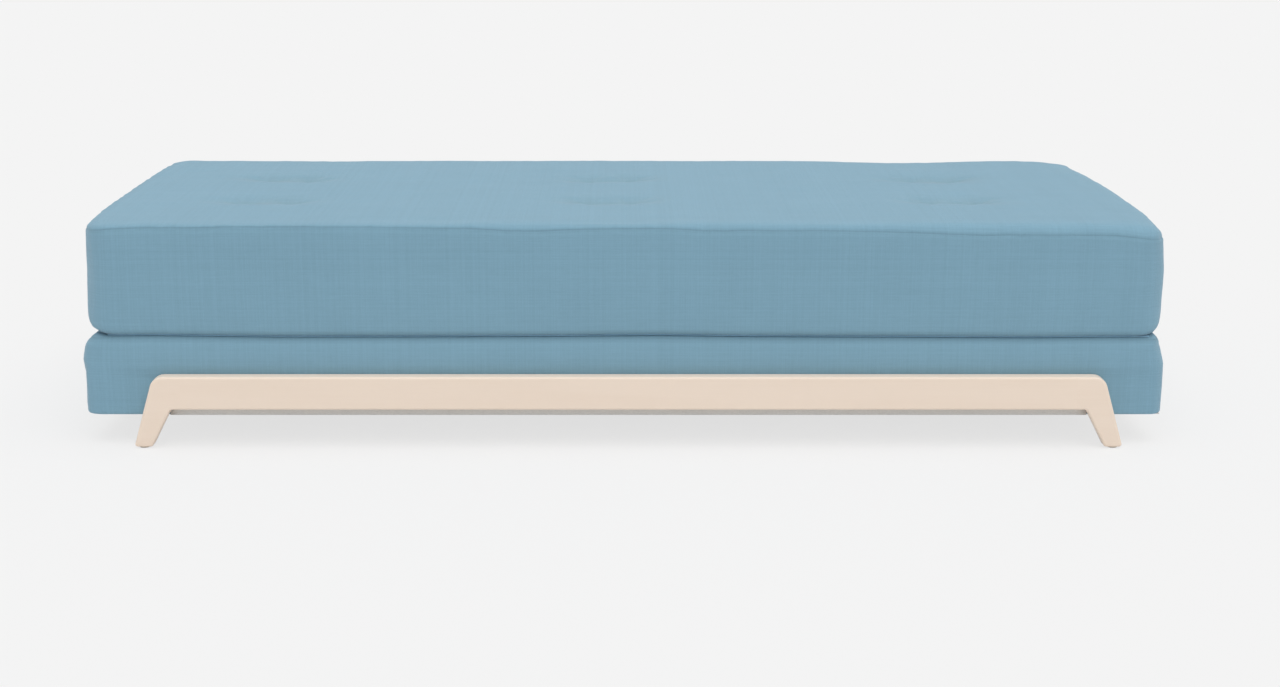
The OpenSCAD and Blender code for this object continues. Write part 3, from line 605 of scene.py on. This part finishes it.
# Base
def make_base(finish):
    """The base cover, flat where the rails press on it, with a dip for the hinge's strip."""
    plain_up_to = 0.077
    ends = [BASE_HALF.x - d for d in (0, 0.002, 0.005, 0.012, BASE_CORNER)]
    tape = [TAPE_HALF + d for d in (-0.0015, 0.0004, 0.0018)]
    stops = sorted(set(ends + [-e for e in ends] + tape + [-e for e in tape]))
    lines_x = spread(stops, 0.012)
    sides = [BASE_HALF.y - d for d in (0, 0.002, 0.005, 0.012, BASE_CORNER)]
    lines_y = spread(sorted(set(sides + [-e for e in sides] + [-0.3352, -0.3344, -0.333])), 0.014)
    edge_z = [0, 0.002, 0.005, 0.010, 0.017]
    tall = 2 * BASE_HALF.z
    lines_z = spread(sorted(set(edge_z + [tall - e for e in edge_z[:4]] + [plain_up_to, 0.086])), 0.009)
    piece, flat = boxed("base_shell", (lines_x, lines_y, lines_z))
    places, out, seam, along, on_top, on_floor = rounded(
        flat, BASE_HALF, BASE_CORNER, 0.0155 + 0.0115 * end_share(flat, BASE_HALF), 0.004,
        lambda x, y: 0.0010 * waves(21, 4, 0.3, 0.9, x, y))
    x, y = places[:, 0].copy(), places[:, 1].copy()
    z = flat[:, 2]
    side = ~(on_top | on_floor)
    # The ends are uneven: the left one fuller, the right one drawn in above
    push = np.where(x < 0, np.interp(z, [0, 0.015, 0.05, 0.08, 0.104, 0.128, tall],
                                     [0.011, 0.012, 0.012, 0.0125, 0.0145, 0.0095, 0.003]),
                    np.interp(z, [0, 0.015, 0.05, 0.095, 0.115, 0.135, tall],
                              [-0.005, -0.005, -0.005, -0.006, -0.011, -0.016, -0.013]))
    places[:, 0] += np.sign(x) * push * np.clip((np.abs(x) - 0.93) / 0.07, 0, 1) ** 2
    places[:, 2] += BASE_FLOOR
    set_places(piece.data, places)

    under_rail = side & (np.abs(out[:, 1]) > 0.7) & (z < RAIL_TOP - BASE_FLOOR + 0.004)
    held = np.exp(-(seam / 0.003) ** 2)
    held = np.maximum(held, np.where(on_top | on_floor | under_rail | (z < 0.008), 1, 0))
    puff(piece, np.clip(held, 0, 1), 0.0035)

    places = get_places(piece.data)
    normal = normals_of(piece.data)
    crease = np.where(z > plain_up_to, 0.0010, 0.0) * np.exp(-(seam / 0.0032) ** 2) * ~on_top
    places -= normal * crease[:, None]
    ripple = 0.0009 * waves(25, 6, 0.08, 0.4, along, z) * np.sin(pi * z / tall)
    places += out * np.where(side & ~under_rail, ripple, 0)[:, None]
    # Nothing stands proud where the rails press or where the mattress lies
    rails = under_rail & (np.abs(x) < 0.94)
    places[:, 1] = np.where(rails, np.clip(places[:, 1], -0.39985, 0.39985), places[:, 1])
    dip = np.interp(y, [-0.3352, -0.3344, -0.333], [1, 0.4, 0])
    dip *= np.interp(np.abs(x), [TAPE_HALF + 0.0004, TAPE_HALF + 0.0018], [1, 0])
    droop = groove_droop(x, y) * np.clip(1 - (tall - z) / 0.05, 0, 1)
    places[:, 2] = np.minimum(places[:, 2], BASE_TOP - 0.00005 - 0.0014 * dip) - droop
    set_places(piece.data, places)
    mark(piece, "seam", np.where(z < plain_up_to, SEAM_REACH, np.minimum(seam, SEAM_REACH)))
    mark(piece, "along", along)
    piece.data.materials.append(finish)
    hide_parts("base_cover")
    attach(piece, "base")


def foam_block(name, node, body, finish, squeeze):
    """A foam slab with its cut-outs and softly rounded outer edges, its right end pressed in by its cover."""
    low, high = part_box(node)
    bm = bmesh.new()
    bm.from_mesh(nodes[node].data)
    bmesh.ops.remove_doubles(bm, verts=bm.verts, dist=1e-6)
    bmesh.ops.dissolve_limit(bm, angle_limit=radians(1), verts=bm.verts, edges=bm.edges)
    outer = []
    for e in bm.edges:
        rim = all(min(v.co.x - low.x, high.x - v.co.x, v.co.y - low.y, high.y - v.co.y) < 0.03
                  and min(v.co.z - low.z, high.z - v.co.z) < 1e-4 for v in e.verts)
        if rim and e.calc_face_angle(0) > 1:
            outer.append(e)
    bmesh.ops.bevel(bm, geom=outer, affect="EDGES", offset=0.0025, segments=3, profile=0.5,
                    material=-1)
    for v in bm.verts:
        v.co.x -= squeeze * min(max((v.co.x - 0.9) / (high.x - 0.9), 0), 1) ** 2
    piece = as_object(name, bm)
    piece.data.materials.append(finish)
    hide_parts(node)
    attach(piece, body)


# Cloth under and between
def give_uv(piece, first, second):
    """A UV map in metres from two of the piece's own axes."""
    mesh = piece.data
    places = get_places(mesh)
    corners = np.empty(len(mesh.loops), int)
    mesh.loops.foreach_get("vertex_index", corners)
    uv = np.stack([first(places)[corners], second(places)[corners]], axis=1)
    mesh.uv_layers.new(name="cloth").uv.foreach_set("vector", uv.astype(np.float32).ravel())


def make_under_cloth(finish):
    """Dust cover stapled under the base, with a flap turned up behind each rail."""
    flap_half = 0.842
    bm = bmesh.new()
    bmesh.ops.create_grid(bm, x_segments=100, y_segments=40, size=1)
    bmesh.ops.scale(bm, vec=(1.0, 0.39, 1), verts=bm.verts)
    for s in (-1, 1):
        for reach, rise in ((0.006, 0.0), (0.0045, 0.0006), (0.0005, 0.0045), (0, 0.0065), (0, 0.0055)):
            far = max(s * v.co.y for v in bm.verts)
            rim = [e for e in bm.edges if e.is_boundary
                   and all(abs(s * v.co.y - far) < 1e-5 or v.co.z > 1e-4 for v in e.verts)
                   and all(s * v.co.y > 0 and abs(v.co.x) < flap_half + 0.02 for v in e.verts)
                   and abs(e.verts[0].co.x - e.verts[1].co.x) > 1e-3]
            top = max(v.co.z for e in rim for v in e.verts)
            rim = [e for e in rim if all(abs(v.co.z - top) < 1e-5 for v in e.verts)]
            grown = bmesh.ops.extrude_edge_only(bm, edges=rim)["geom"]
            new = [g for g in grown if isinstance(g, bmesh.types.BMVert)]
            bmesh.ops.translate(bm, vec=(0, s * reach, rise), verts=new)
    bmesh.ops.translate(bm, vec=(0, 0, 0.0574), verts=bm.verts)
    piece = as_object("under_cloth", bm, smooth=True)
    places = get_places(piece.data)
    x, y, z = places.T
    bays = np.interp(x, [-0.986, -0.735, -0.484, -0.242, 0, 0.242, 0.484, 0.735, 0.986],
                     [0, 1, 0, 1, 0, 1, 0, 1, 0]) ** 0.8
    across = np.clip(1 - (y / 0.385) ** 2, 0, 1)
    sag = 0.003 * bays * across + 0.0005 * waves(31, 6, 0.05, 0.2, x, y) * across
    places[:, 2] -= np.maximum(sag, 0)
    set_places(piece.data, places)
    give_uv(piece, lambda p: p[:, 0], lambda p: p[:, 1] + p[:, 2])
    thick = piece.modifiers.new("cloth_thickness", "SOLIDIFY")
    thick.thickness = 0.0006
    thick.offset = 0
    piece.data.materials.append(finish)
    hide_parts("dust_cover")
    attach(piece, "base")


def make_staples(finish):
    """Staples that hold the dust cover to the beams."""
    bm = bmesh.new()
    rows = [(x, s * 0.377, 0) for x in np.arange(-0.95, 0.951, 0.095) for s in (-1, 1)]
    rows += [(s * 0.987, y, 90) for y in np.arange(-0.3, 0.301, 0.1) for s in (-1, 1)]
    for x, y, turn in rows:
        made = bmesh.ops.create_cube(bm, size=1, matrix=Matrix.Translation((x, y, 0.0568))
                                     @ Matrix.Rotation(radians(turn + 7 * np.sin(40 * x + 9 * y)), 4, "Z")
                                     @ Matrix.Diagonal((0.0105, 0.0012, 0.0006, 1)))
        bmesh.ops.bevel(bm, geom=list({e for v in made["verts"] for e in v.link_edges}),
                        affect="EDGES", offset=0.0002, segments=1, profile=0.5, material=-1)
    piece = as_object("dust_cover_staples", bm)
    piece.data.materials.append(finish)
    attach(piece, "base")


def make_hinge(finish):
    """The hinge's strip of cloth and the corded edge that lies in the groove."""
    bm = bmesh.new()
    bmesh.ops.create_grid(bm, x_segments=240, y_segments=14, size=1)
    bmesh.ops.scale(bm, vec=(TAPE_HALF, TAPE_WIDTH / 2, 1), verts=bm.verts)
    bmesh.ops.translate(bm, vec=(0, TAPE_REAR - TAPE_WIDTH / 2, BASE_TOP - 0.0005), verts=bm.verts)
    strip = as_object("hinge_strip", bm, smooth=True)
    places = get_places(strip.data)
    places[:, 2] += 0.00008 * waves(41, 5, 0.03, 0.12, places[:, 0], places[:, 1])
    places[:, 2] -= groove_droop(places[:, 0], places[:, 1])
    set_places(strip.data, places)
    give_uv(strip, lambda p: p[:, 0], lambda p: p[:, 1])
    thick = strip.modifiers.new("cloth_thickness", "SOLIDIFY")
    thick.thickness = 0.0008
    thick.offset = 0
    strip.data.materials.append(finish)

    bm = bmesh.new()
    bmesh.ops.create_cone(bm, cap_ends=True, segments=16, radius1=CORD_RADIUS, radius2=CORD_RADIUS,
                          depth=2 * TAPE_HALF)
    caps = [e for e in bm.edges if abs(e.verts[0].co.z - e.verts[1].co.z) < 1e-6]
    bmesh.ops.bevel(bm, geom=caps, affect="EDGES", offset=0.0004, segments=3, profile=0.5, material=-1)
    long = [e for e in bm.edges if abs(e.verts[0].co.z - e.verts[1].co.z) > 1]
    bmesh.ops.subdivide_edges(bm, edges=long, cuts=300)
    bmesh.ops.rotate(bm, matrix=Matrix.Rotation(pi / 2, 3, "Y"), verts=bm.verts)
    cord = as_object("hinge_corded_edge", bm, smooth=True)
    places = get_places(cord.data)
    x = places[:, 0]
    slim = 1 - 0.035 * (1 + waves(42, 6, 0.01, 0.08, x))
    places[:, 1] = places[:, 1] * slim + HINGE_Y
    places[:, 2] = places[:, 2] * slim + HINGE_Z
    places[:, 2] -= groove_droop(x, places[:, 1])
    set_places(cord.data, places)
    give_uv(cord, lambda p: p[:, 0],
            lambda p: np.arctan2(p[:, 2] - HINGE_Z, p[:, 1] - HINGE_Y) * CORD_RADIUS)
    cord.data.materials.append(finish)
    for piece in (strip, cord):
        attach(piece, "hinge_link")
    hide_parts("hinge_tape")


def make_felt(finish):
    """Felt discs under the feet, a little ragged at the rim."""
    bm = bmesh.new()
    for sx in (-1, 1):
        for sy in (-1, 1):
            spot = Matrix.Translation((sx * FOOT_X, sy * FOOT_Y, 0.0015))
            made = bmesh.ops.create_cone(bm, cap_ends=True, segments=40, radius1=FELT_RADIUS,
                                         radius2=FELT_RADIUS, depth=0.0029, matrix=spot)
            rim = [e for e in {e for v in made["verts"] for e in v.link_edges}
                   if abs(e.verts[0].co.z - e.verts[1].co.z) < 1e-6]
            bmesh.ops.bevel(bm, geom=rim, affect="EDGES", offset=0.0005, segments=3, profile=0.5,
                            material=-1)
    piece = as_object("felt_discs", bm)
    places = get_places(piece.data)
    ragged = 0.00012 * waves(51, 6, 0.0015, 0.005, *places.T)
    out = places - np.sign(places) * np.array([FOOT_X, FOOT_Y, 0])
    out[:, 2] = 0
    places += out / FELT_RADIUS * ragged[:, None]
    set_places(piece.data, places)
    piece.data.materials.append(finish)
    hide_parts("felt_pads")
    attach(piece, "base")


# Zip
def make_zip(cloth, plastic):
    """Tape with woven edges and a coil of small turns."""
    bm = bmesh.new()
    bmesh.ops.create_grid(bm, x_segments=260, y_segments=8, size=1,
                          matrix=Matrix.Rotation(pi / 2, 4, "X"))
    bmesh.ops.scale(bm, vec=(ZIP_HALF, 1, 0.009), verts=bm.verts)
    bmesh.ops.translate(bm, vec=(0, 0.3915, ZIP_Z), verts=bm.verts)
    tape = as_object("zip_band", bm, smooth=True)
    places = get_places(tape.data)
    places[:, 1] += 0.00012 * waves(61, 6, 0.02, 0.09, places[:, 0], places[:, 2])
    set_places(tape.data, places)
    give_uv(tape, lambda p: p[:, 0], lambda p: p[:, 2])
    thick = tape.modifiers.new("cloth_thickness", "SOLIDIFY")
    thick.thickness = 0.0007
    thick.offset = 0
    tape.data.materials.append(cloth)
    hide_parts("zip_tape")
    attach(tape, "mattress")

    bm = bmesh.new()
    count, reach = 860, 0.899
    turn = Matrix.Rotation(radians(9), 4, "Y")
    for k in range(count):
        x = -reach + 2 * reach * k / (count - 1)
        bmesh.ops.create_cone(bm, cap_ends=True, segments=7, radius1=0.00078, radius2=0.00078,
                              depth=0.0044, matrix=Matrix.Translation((x, 0.3931, ZIP_Z)) @ turn)
    teeth = as_object("zip_teeth", bm, smooth=True)
    teeth.data.materials.append(plastic)
    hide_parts("zip_coil")
    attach(teeth, "mattress")


# Finishes
def woven(name, colour, painted_shade_share, reach):
    """Coarse linen-like plain weave with uneven threads, puckered at the seams. It carries painted shade at
    each seam:
    darker by the given share within that reach of it, and along a narrow line at the seam itself, partly its
    stitching."""
    pitch = 0.0013
    f = Finish(name, roughness=0.88, sheen_weight=0.22, sheen_roughness=0.45)
    f.shader.inputs["Specular IOR Level"].default_value = 0.25
    u, v = f.cloth_uv()
    across, down = u / pitch, v / pitch
    warp, weft = across.floor(), down.floor()
    a, b = (across * pi).sin(), (down * pi).sin()
    over = (a * b) > 0
    crest = abs(a) * (0.55 + 0.45 * abs(b)) * over + abs(b) * (0.55 + 0.45 * abs(a)) * (1 - over)
    weft_slub = f.noise(f.join(u * 26, weft * 5.37), 1, 2, 0.6)
    warp_slub = f.noise(f.join(warp * 5.91, v * 26), 1, 2, 0.6)
    long_slub = f.noise(f.join(u * 7, weft * 2.3, 4.0), 1, 1)
    tint = (f.chance(weft) - 0.5) * 0.05 + (f.chance(warp + 900) - 0.5) * 0.05
    cloudy = f.noise(f.places(), 9, 3) - 0.5
    shade = 0.88 + 0.17 * crest + tint + cloudy * 0.05
    shade = shade + (weft_slub - 0.5) * 0.13 + (warp_slub - 0.5) * 0.09 + (long_slub - 0.5) * 0.04
    weave = f.relief(crest + (weft_slub - 0.5) * 1.6 + (warp_slub - 0.5) * 1.1, 0.00035, 0.55)
    seam, along = f.attribute("seam"), f.attribute("along")
    beside = (-(seam / 0.012)).exp()
    pucker = f.noise(f.join(along * 75, seam * 30), 1, 2)
    normal = f.relief((pucker - 0.5) * beside, 0.0022, 0.7, weave)
    # Painted shade at the seams: a broad band darker by the given share, and a narrow line that is partly the
    # stitching and partly painted shade
    line = (-((seam / 0.0014) * (seam / 0.0014))).exp()
    painted_shade_band = (-((seam / reach) * (seam / reach))).exp()
    shade = shade * (1 - line * 0.09 - painted_shade_band * painted_shade_share)
    # Painted shade: where the tufts draw the cloth in, it is a little darker and greyer
    colour = f.blend(f.attribute("tuft_shade"), colour, tuple(c * k for c, k in zip(colour, TUFT_SHADE_TINT)))
    f.wear(base_color=f.tone(colour, shade), normal=normal)
    rough = f.noise(f.places(), 40, 2)
    f.wear(roughness=rough * 0.1 + 0.83)
    return f.material


def stitched(name, colour, rows, thread):
    """Plain strong cloth with rows of machine stitches across its width at given places."""
    f = Finish(name, roughness=0.85)
    f.shader.inputs["Specular IOR Level"].default_value = 0.25
    u, v = f.cloth_uv()
    rib = (v / 0.0009 * pi).sin() * (u / 0.0012 * pi).sin()
    fuzz = f.noise(f.join(u * 900, v * 300), 1, 2)
    shade = 0.94 + rib * 0.06 + (fuzz - 0.5) * 0.2
    colour_now = f.tone(colour, shade)
    raised = rib * 0.5
    for row in rows:
        line = (abs(v - row) < 0.00035) * ((u / 0.0034).fraction() < 0.74)
        colour_now = f.blend(line, colour_now, thread)
        raised = raised + line
    f.wear(base_color=colour_now, normal=f.relief(raised, 0.0002, 0.6))
    return f.material


def planed(name, colour, deep, turn=(0, 0, 0), contrast=1.0, coat=0.0):
    """Planed timber; its grain runs along the X axis of its own turned coordinates."""
    f = Finish(name, roughness=0.5, coat_roughness=0.35)
    f.shader.inputs["Specular IOR Level"].default_value = 0.4
    if coat:
        f.shader.inputs["Coat Weight"].default_value = coat
    long = f.places(turn, (1.1, 16, 16))
    broad = f.noise(long, 1, 4, 0.55, 0.6)
    fine = f.noise(f.places(turn, (6, 260, 260)), 1, 3, 0.6)
    pores = f.noise(f.places(turn, (38, 900, 900)), 1, 2)
    rings = (f.noise(f.places(turn, (0.7, 9, 9)), 1, 2, 0.5, 0.3) * 46).sin() * 0.5 + 0.5
    grain = (rings * 0.32 + (broad - 0.35) * 0.9 + (fine - 0.5) * 0.8)
    fleck = (pores - 0.64).maths("MULTIPLY", pores - 0.64, 5, use_clamp=True)
    mix = ((grain * 0.5 + fleck * 0.8) * contrast).clamp()
    f.wear(base_color=f.blend(mix, colour, deep), roughness=fine * 0.16 + 0.42,
           normal=f.relief(fine * 0.6 + pores * 0.4 + rings * 0.2, 0.0002, 0.25 * contrast))
    return f.material


def speckled(name, colour, grain, depth, roughness, contrast=0.25, metallic=0.0, stretch=(1, 1, 1)):
    """Finishes without a direction: felt, foam, plastic, cast and rolled metal."""
    f = Finish(name, roughness=roughness, metallic=metallic)
    place = f.places(scale=stretch)
    fine = f.noise(place, 1 / grain, 3, 0.6)
    cloud = f.noise(place, 0.12 / grain, 2)
    f.wear(base_color=f.tone(colour, 1 + (fine - 0.5) * contrast + (cloud - 0.5) * contrast * 0.6),
           roughness=(roughness - 0.08) + fine * 0.16, normal=f.relief(fine, depth, 0.6))
    return f.material


def foamed(name, colour):
    """Open-cell foam."""
    f = Finish(name, roughness=0.95)
    cells = f.add("TexVoronoi", {"Vector": f.places(), "Scale": 900.0}, out="Distance")
    cloud = f.noise(f.places(), 14, 2)
    f.wear(base_color=f.tone(colour, 0.86 + cells * 0.22 + (cloud - 0.5) * 0.08),
           normal=f.relief(cells, 0.0006, 0.7))
    return f.material


def bonded(name, colour):
    """Non-woven lining with a pressed pattern of small diamonds."""
    f = Finish(name, roughness=0.92)
    f.shader.inputs["Specular IOR Level"].default_value = 0.2
    u, v = f.cloth_uv()
    one, two = (u + v) / 0.0022, (u - v) / 0.0022
    dots = abs((one * pi).sin()) * abs((two * pi).sin())
    fibres = f.noise(f.join(u * 500, v * 500), 1, 3, 0.7, 1.0)
    f.wear(base_color=f.tone(colour, 0.8 + dots * 0.25 + (fibres - 0.5) * 0.5),
           normal=f.relief(dots + fibres, 0.0003, 0.5))
    return f.material


BLUE = (0.228, 0.405, 0.519)
# Painted shade in the tufts' dips: a little darker and greyer
TUFT_SHADE_TINT = (1.035, 0.95, 0.905)
PALE_WOOD = (0.895, 0.752, 0.63)
PALE_WOOD_GRAIN = (0.82, 0.66, 0.526)
PINE = (0.70, 0.53, 0.33)
PINE_GRAIN = (0.55, 0.36, 0.18)

light_and_floor()
place_camera()

# The last two numbers set the painted shade along the seams; the base's is deeper and wider, below the groove
mattress_cloth = woven("blue_linen_mattress", BLUE, 0.09, 0.0065)
base_cloth = woven("blue_linen_base", BLUE, 0.15, 0.0078)
# The hinge cloth and its thread are lighter than the covers: painted light, so that the shaded groove they
# lie in reads lighter
hinge_cloth = stitched("blue_hinge_cloth", (0.27, 0.475, 0.63), (-0.3835, -0.339), (0.31, 0.51, 0.66))
lining = bonded("grey_lining", (0.725, 0.71, 0.68))
foam = foamed("cream_foam", (0.86, 0.82, 0.68))
felt = speckled("pale_felt", (0.66, 0.60, 0.52), 0.0006, 0.0004, 0.95, 0.6)
steel = speckled("zinc_steel", (0.58, 0.58, 0.60), 0.0012, 0.00005, 0.36, 0.16, 1.0)
zip_cloth = stitched("blue_zip_tape", (0.17, 0.30, 0.39), (ZIP_Z + 0.0064, ZIP_Z - 0.0064),
                     (0.24, 0.39, 0.49))
zip_plastic = speckled("blue_zip_coil", (0.15, 0.27, 0.36), 0.0008, 0.00004, 0.38, 0.12)
toggle_plastic = speckled("dark_toggle", (0.10, 0.10, 0.10), 0.001, 0.00006, 0.45, 0.2)
twine = speckled("twine", (0.80, 0.78, 0.70), 0.0007, 0.0002, 0.9, 0.4, stretch=(1, 1, 0.4))
frame_wood = planed("pale_wood_rail", PALE_WOOD, PALE_WOOD_GRAIN, contrast=0.55, coat=0.12)
leg_left = planed("pale_wood_leg_left", PALE_WOOD, PALE_WOOD_GRAIN, (0, radians(-70.5), 0), 0.55, 0.12)
leg_right = planed("pale_wood_leg_right", PALE_WOOD, PALE_WOOD_GRAIN, (0, radians(70.5), 0), 0.55, 0.12)
pine_long = planed("pine_long", PINE, PINE_GRAIN)
pine_cross = planed("pine_cross", PINE, PINE_GRAIN, (0, 0, radians(90)))
pine_slat = planed("pine_slats", (0.76, 0.60, 0.40), (0.62, 0.43, 0.24), (0, 0, radians(90)))
beech = planed("beech_dowels", (0.70, 0.48, 0.30), (0.55, 0.34, 0.19))


def finish_for(name):
    """The finish of a solid, by its name."""
    if name.startswith(("front_leg", "rear_leg")):
        return leg_left if name.endswith("left") else leg_right
    if name.endswith("_rail"):
        return frame_wood
    if name.startswith("slat_") and name != "slat_screws":
        return pine_slat
    if name in ("beam_left", "beam_right") or name.startswith("cross_beam"):
        return pine_cross
    if name.startswith(("beam_front", "beam_rear", "corner")):
        return pine_long
    if name == "leg_dowels":
        return beech
    if name.startswith("tuft_tie"):
        return twine
    if name == "tuft_toggles":
        return toggle_plastic
    return steel


# Solids that pieces of this script replace
soft = {"base_foam", "base_cover", "dust_cover", "hinge_tape", "mattress_core", "mattress_topper",
        "mattress_cover", "felt_pads", "zip_tape", "zip_coil"}
for name, solid in nodes.items():
    if name not in soft:
        solid.data.materials.clear()
        solid.data.materials.append(finish_for(name))

make_mattress(mattress_cloth)
make_base(base_cloth)
foam_block("base_foam_slab", "base_foam", "base", foam, 0.020)
foam_block("mattress_foam_core", "mattress_core", "mattress", foam, 0.012)
foam_block("mattress_foam_topper", "mattress_topper", "mattress", foam, 0.012)
make_under_cloth(lining)
make_staples(steel)
make_hinge(hinge_cloth)
make_felt(felt)
make_zip(zip_cloth, zip_plastic)
